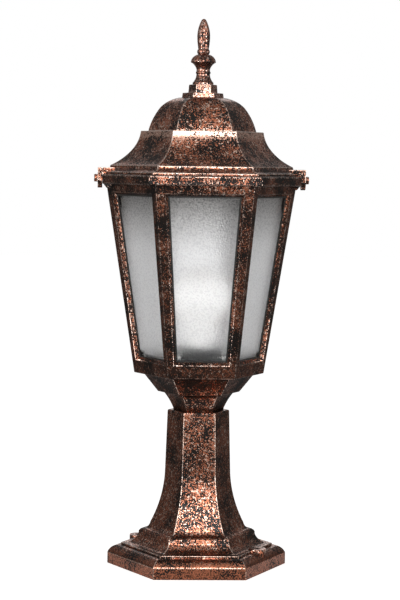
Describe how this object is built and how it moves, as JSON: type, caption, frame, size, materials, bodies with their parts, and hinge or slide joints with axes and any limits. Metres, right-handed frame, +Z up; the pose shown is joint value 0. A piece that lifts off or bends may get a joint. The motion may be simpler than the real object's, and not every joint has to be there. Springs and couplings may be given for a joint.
{
  "type": "pedestal lantern",
  "caption": "Hexagonal cast pedestal lantern for a path or pier: moulded flange, short column, tapered cage of pebbled glass panes, domed roof with a concave skirt, turned finial.",
  "frame": {"origin": "centre of the flange's underside", "axes": "+Z up along the column, -Y out of the flat side that faces the picture's camera, X through the two corners that carry the roof's ears"},
  "size_m": [0.2138, 0.1862, 0.5456],
  "materials": {
    "antique_copper": "black coating rubbed through to copper, fine speckle",
    "pebbled_glass": "pebbled",
    "gasket_rubber": "matte",
    "zinc_steel": "zinc plated",
    "coated_screw": "coated to match the casting",
    "brass_contact": "bright",
    "holder_plastic": "satin",
    "holder_insert": "glazed ceramic look",
    "opal_bulb": "opal",
    "terminal_plastic": "matte",
    "lead_brown": "matte",
    "lead_blue": "matte"
  },
  "bodies": {
    "root": {"pedestal": "antique_copper", "lantern_body": "antique_copper", "roof": "antique_copper", "finial": "antique_copper", "finial_bolt": "zinc_steel", "finial_washer": "zinc_steel", "roof_screws": "coated_screw", "glass_pane_front": "pebbled_glass", "glass_pane_front_right": "pebbled_glass", "glass_pane_back_right": "pebbled_glass", "glass_pane_back": "pebbled_glass", "glass_pane_back_left": "pebbled_glass", "glass_pane_front_left": "pebbled_glass", "pane_gasket_front": "gasket_rubber", "pane_gasket_front_right": "gasket_rubber", "pane_gasket_back_right": "gasket_rubber", "pane_gasket_back": "gasket_rubber", "pane_gasket_back_left": "gasket_rubber", "pane_gasket_front_left": "gasket_rubber", "pane_clips": "zinc_steel", "pane_clip_screws": "zinc_steel", "stem_tube": "zinc_steel", "stem_upper_washer": "zinc_steel", "stem_upper_nut": "zinc_steel", "stem_lower_washer": "zinc_steel", "stem_lower_nut": "zinc_steel", "lampholder_cap": "holder_plastic", "lampholder_insert": "holder_insert", "lampholder_shell": "brass_contact", "lampholder_contact": "brass_contact", "lampholder_sleeve": "holder_plastic", "bulb": "opal_bulb", "terminal_bracket": "zinc_steel", "terminal_block": "terminal_plastic", "terminal_block_screw": "zinc_steel", "live_lead": "lead_brown", "neutral_lead": "lead_blue", "earth_screw": "brass_contact"}
  },
  "joints": []
}
